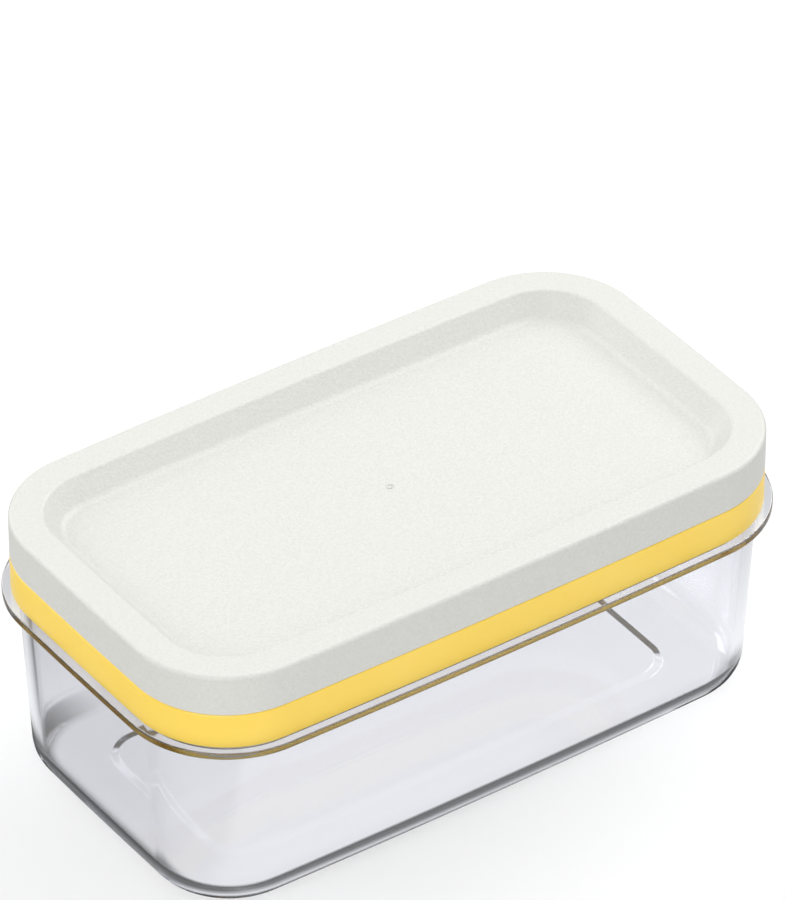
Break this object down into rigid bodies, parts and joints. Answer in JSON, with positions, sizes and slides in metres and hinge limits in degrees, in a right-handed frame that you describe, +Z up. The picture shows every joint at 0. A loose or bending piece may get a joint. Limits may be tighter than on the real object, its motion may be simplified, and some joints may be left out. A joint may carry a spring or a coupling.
{
  "type": "wire butter slicer",
  "caption": "Clear butter box with a removable frame strung with parallel wires that cuts a block into even slices, under a tray-topped lid.",
  "frame": {"origin": "middle of the box's foot, on the surface that the box stands on", "axes": "+X along the box's long side, +Y across it to the back long side, +Z up, the way the frame and the lid lift off"},
  "size_m": [0.17, 0.0968, 0.0687],
  "materials": {
    "clear_box": "clear moulded plastic, polished",
    "yellow_plastic": "warm yellow moulded plastic, soft gloss",
    "white_plastic": "off-white moulded plastic, fine matte grain",
    "steel_wire": "drawn stainless steel"
  },
  "bodies": {
    "box": {"container": "clear_box"},
    "cutter": {"cutter_frame": "yellow_plastic", "clamp_ring": "yellow_plastic", "wire_01": "steel_wire", "wire_02": "steel_wire", "wire_03": "steel_wire", "wire_04": "steel_wire", "wire_05": "steel_wire", "wire_06": "steel_wire", "wire_07": "steel_wire", "wire_08": "steel_wire", "wire_09": "steel_wire", "wire_10": "steel_wire", "wire_11": "steel_wire", "wire_12": "steel_wire", "wire_13": "steel_wire", "wire_14": "steel_wire", "wire_15": "steel_wire", "wire_16": "steel_wire", "wire_17": "steel_wire", "wire_18": "steel_wire", "wire_19": "steel_wire", "wire_stops_front": "steel_wire", "wire_stops_back": "steel_wire"},
    "lid": {"lid": "white_plastic"}
  },
  "joints": [
    {"name": "cutter_lift", "type": "slide", "parent": "box", "child": "cutter", "axis": [0, 0, 1], "range_m": [0, 0.039]},
    {"name": "lid_lift", "type": "slide", "parent": "cutter", "child": "lid", "axis": [0, 0, 1], "range_m": [0, 0.0365]}
  ]
}
